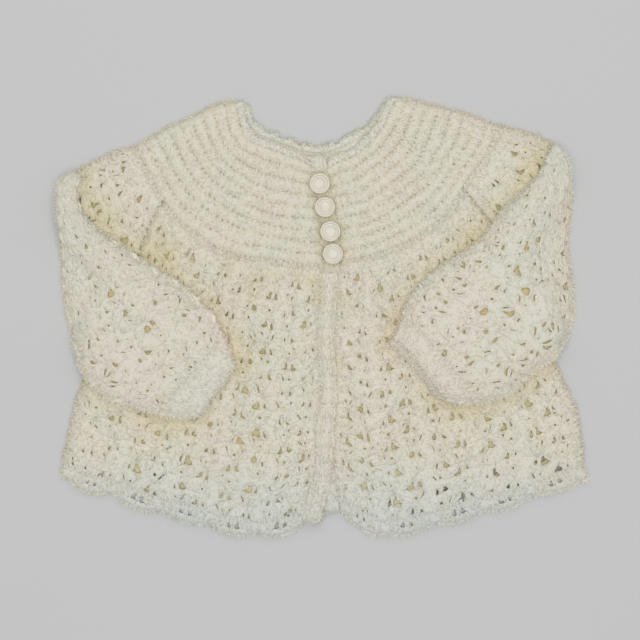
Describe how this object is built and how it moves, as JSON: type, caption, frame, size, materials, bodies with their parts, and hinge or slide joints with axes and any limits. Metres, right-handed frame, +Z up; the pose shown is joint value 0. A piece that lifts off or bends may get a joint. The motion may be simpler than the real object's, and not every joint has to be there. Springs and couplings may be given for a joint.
{
  "type": "crocheted baby cardigan",
  "caption": "Short cream crocheted baby cardigan laid flat, with a ribbed round yoke, shell lace skirt, folded-in sleeves and a buttoned front.",
  "frame": {"origin": "on the table, under the middle of the whole outline", "axes": "+X the viewer's right (the wearer's left), +Y towards the neck, +Z up off the table"},
  "size_m": [0.3191, 0.264, 0.014],
  "materials": {
    "yarn_lace": "soft matt crocheted shell lace",
    "yarn_rib": "soft matt crocheted ribbing",
    "yarn_edge": "soft matt crocheted edging, bands and cuffs",
    "button_plastic": "moulded off-white plastic, satin gloss"
  },
  "bodies": {
    "root": {"back": "yarn_lace", "front_right": "yarn_lace", "front_left": "yarn_lace", "sleeve_head_back_right": "yarn_lace", "sleeve_head_back_left": "yarn_lace", "sleeve_head_front_right": "yarn_lace", "sleeve_head_front_left": "yarn_lace", "sleeve_top_right": "yarn_lace", "sleeve_top_left": "yarn_lace", "sleeve_under_right": "yarn_lace", "sleeve_under_left": "yarn_lace", "yoke_back": "yarn_rib", "yoke_right": "yarn_rib", "yoke_left": "yarn_rib", "hem_back": "yarn_edge", "hem_front_right": "yarn_edge", "hem_front_left": "yarn_edge", "neck_edging_back": "yarn_edge", "neck_edging_right": "yarn_edge", "neck_edging_left": "yarn_edge", "cuff_top_right": "yarn_edge", "cuff_top_left": "yarn_edge", "cuff_under_right": "yarn_edge", "cuff_under_left": "yarn_edge", "button_band": "yarn_edge", "buttonhole_band": "yarn_edge", "button_1": "button_plastic", "button_2": "button_plastic", "button_3": "button_plastic", "button_4": "button_plastic"}
  },
  "joints": []
}
